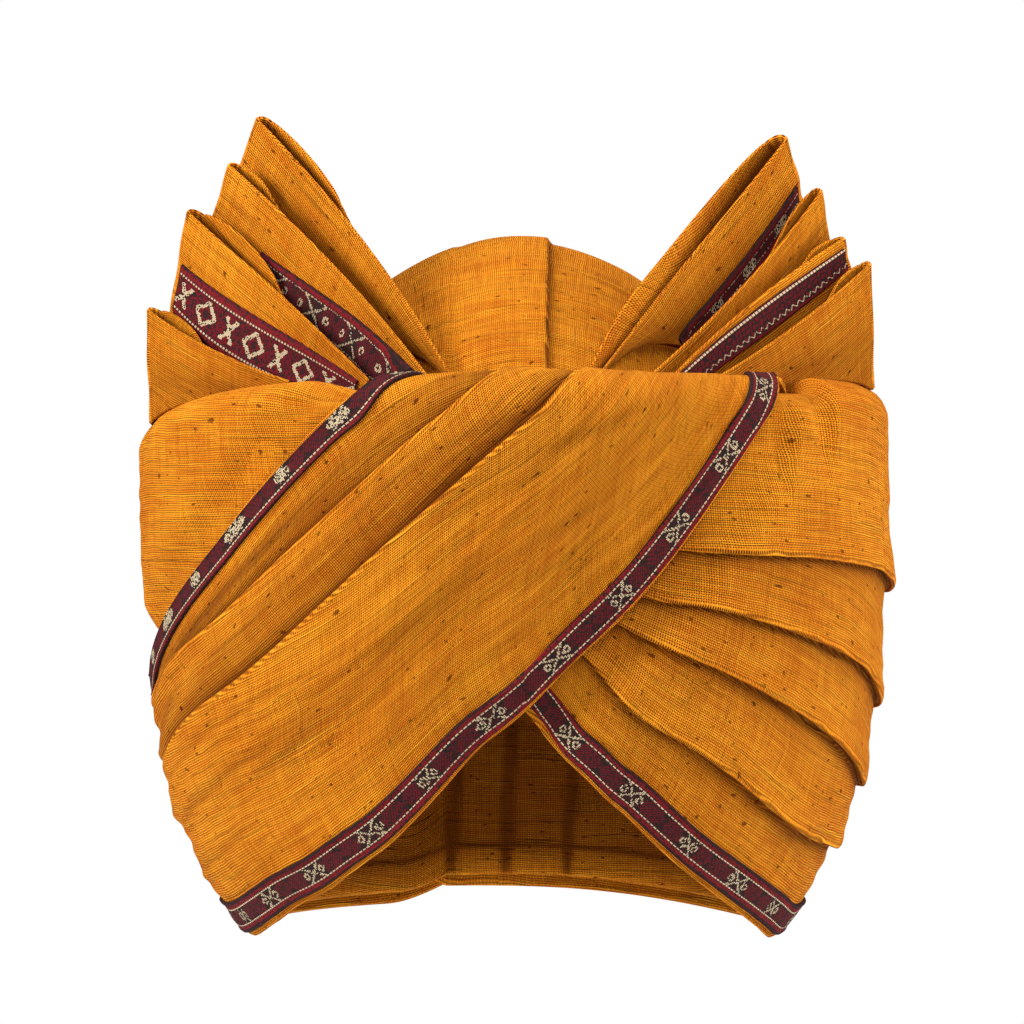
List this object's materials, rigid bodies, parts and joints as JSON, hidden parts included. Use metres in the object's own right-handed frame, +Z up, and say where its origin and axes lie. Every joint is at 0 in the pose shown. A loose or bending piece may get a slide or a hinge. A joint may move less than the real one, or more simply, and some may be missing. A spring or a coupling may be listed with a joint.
{
  "type": "tied turban pagri",
  "caption": "Ready-tied turban pagri of ochre slub cloth: two pleated wraps cross in a V on the forehead over a cloth crown, with fans of folded cloth at both sides and woven maroon borders.",
  "frame": {"origin": "inside top of the crown, where the top of the head sits", "axes": "+Z up, -Y to the front where the wraps cross in a V, +X to the right of someone who looks at the front"},
  "size_m": [0.2259, 0.2521, 0.2415],
  "materials": {
    "wrap_cloth": "coarse plain-weave slub cotton and silk, matte",
    "fan_cloth": "the same slub cloth, folded double and starched",
    "woven_border": "woven maroon and black border with cream cross and diamond motifs"
  },
  "bodies": {
    "root": {"crown_cap": "wrap_cloth", "under_wrap": "wrap_cloth", "over_wrap": "wrap_cloth", "under_wrap_trim": "woven_border", "over_wrap_lower_trim": "woven_border", "over_wrap_upper_trim": "woven_border", "left_fan_pleat_1": "fan_cloth", "left_fan_pleat_2": "fan_cloth", "left_fan_pleat_3": "fan_cloth", "left_fan_pleat_4": "fan_cloth", "right_fan_pleat_1": "fan_cloth", "right_fan_pleat_2": "fan_cloth", "right_fan_pleat_3": "fan_cloth", "right_fan_pleat_4": "fan_cloth", "left_fan_wide_trim": "woven_border", "left_fan_narrow_trim": "woven_border", "right_fan_wide_trim": "woven_border", "right_fan_narrow_trim": "woven_border"}
  },
  "joints": []
}
